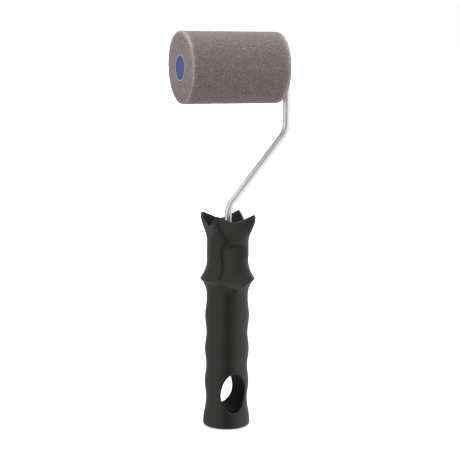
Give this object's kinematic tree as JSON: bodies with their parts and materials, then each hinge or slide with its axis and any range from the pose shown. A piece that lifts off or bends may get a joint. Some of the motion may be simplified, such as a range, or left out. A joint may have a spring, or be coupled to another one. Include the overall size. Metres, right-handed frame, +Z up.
{
  "type": "paint roller",
  "caption": "Small foam paint roller: cylindrical foam refill on a bent wire frame with a moulded handle, hung by a hole in its butt.",
  "frame": {"origin": "centre of the flat butt face of the handle", "axes": "+Z up the handle to the roller, +X along the roller's axle towards the side leg of the wire, the hanging hole runs along Y"},
  "size_m": [0.0876, 0.0522, 0.2957],
  "materials": {
    "handle_plastic": "satin",
    "zinc_wire": "satin",
    "spring_steel": "satin",
    "hub_plastic": "satin",
    "core_plastic": "satin",
    "foam": "matte"
  },
  "bodies": {
    "frame": {"handle": "handle_plastic", "wire_frame": "zinc_wire", "push_nut": "spring_steel"},
    "hubs": {"inner_hub": "hub_plastic", "spindle": "core_plastic", "outer_hub": "hub_plastic", "hub_cap": "hub_plastic"},
    "refill": {"core_tube": "core_plastic", "foam_sleeve": "foam"}
  },
  "joints": [
    {"name": "roller_spin", "type": "hinge", "parent": "frame", "child": "hubs", "pos_m": [0, 0, 0.2696], "axis": [1, 0, 0], "continuous": true},
    {"name": "refill_pull_off", "type": "slide", "parent": "hubs", "child": "refill", "axis": [-1, 0, 0], "range_m": [0, 0.08]}
  ]
}
